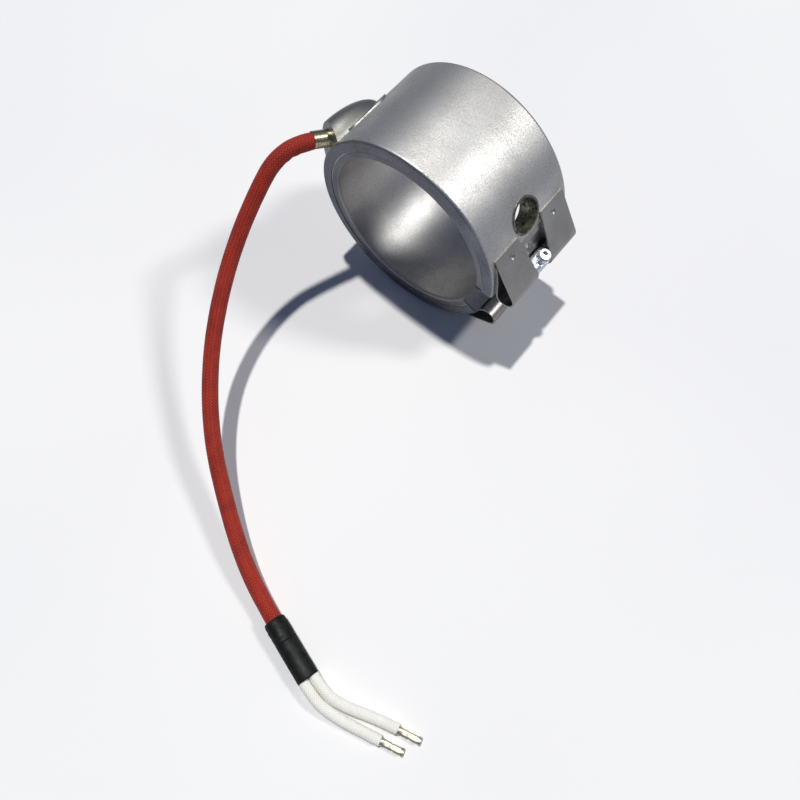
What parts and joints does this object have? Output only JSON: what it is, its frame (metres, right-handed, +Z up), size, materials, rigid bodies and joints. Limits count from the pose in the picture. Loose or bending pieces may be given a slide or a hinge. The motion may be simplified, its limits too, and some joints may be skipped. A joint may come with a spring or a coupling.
{
  "type": "band heater",
  "caption": "Split ring heater with a folded-strap barrel-bar clamp, a sensor port and a sleeved flying lead that leaves a pressed cover.",
  "frame": {"origin": "centre of the bore, half way along the band's width", "axes": "+Y along the bore away from the lead side, +X towards the clamp, +Z up as the part lies"},
  "size_m": [0.1725, 0.2033, 0.0864],
  "materials": {
    "stainless": "satin",
    "zinc": "bright zinc plate",
    "brass": "satin",
    "port_metal": "heat-stained",
    "mica": "matt",
    "nichrome": "satin",
    "blanket": "matt",
    "braid": "woven",
    "shrink": "satin",
    "glass_braid": "woven",
    "tinned": "satin"
  },
  "bodies": {
    "heater": {"outer_casing": "stainless", "inner_sheath": "stainless", "end_cap_upper": "stainless", "end_cap_lower": "stainless", "inner_mica": "mica", "resistance_ribbon": "nichrome", "outer_mica": "mica", "insulation_blanket": "blanket", "port_lining": "port_metal", "clamp_strap_upper": "stainless", "clamp_strap_lower": "stainless", "clamp_bar_upper": "zinc", "clamp_bar_lower": "zinc", "terminal_cover": "stainless", "lead_tube": "brass", "ribbon_tail_1": "nichrome", "ribbon_tail_2": "nichrome", "wire_crimp_1": "tinned", "wire_crimp_2": "tinned", "lead_sleeve": "braid", "shrink_wrap": "shrink", "shrink_tube": "shrink", "wire_1": "glass_braid", "wire_2": "glass_braid", "end_ferrule_1": "tinned", "end_ferrule_2": "tinned"},
    "washer": {"screw_washer": "zinc"},
    "screw": {"clamp_screw": "zinc"}
  },
  "joints": [
    {"name": "washer_lift", "type": "slide", "parent": "heater", "child": "washer", "axis": [0.289, 0, 0.9573], "range_m": [0, 0.0217]},
    {"name": "screw_turn", "type": "hinge", "parent": "washer", "child": "screw", "pos_m": [0.04451, 0.0016, -0.01344], "axis": [0.289, 0, 0.9573], "range_deg": [0, 15625]}
  ],
  "couplings": [
    {"joint": "screw_turn", "follows": "washer_lift", "rad_per_m": 12566}
  ]
}
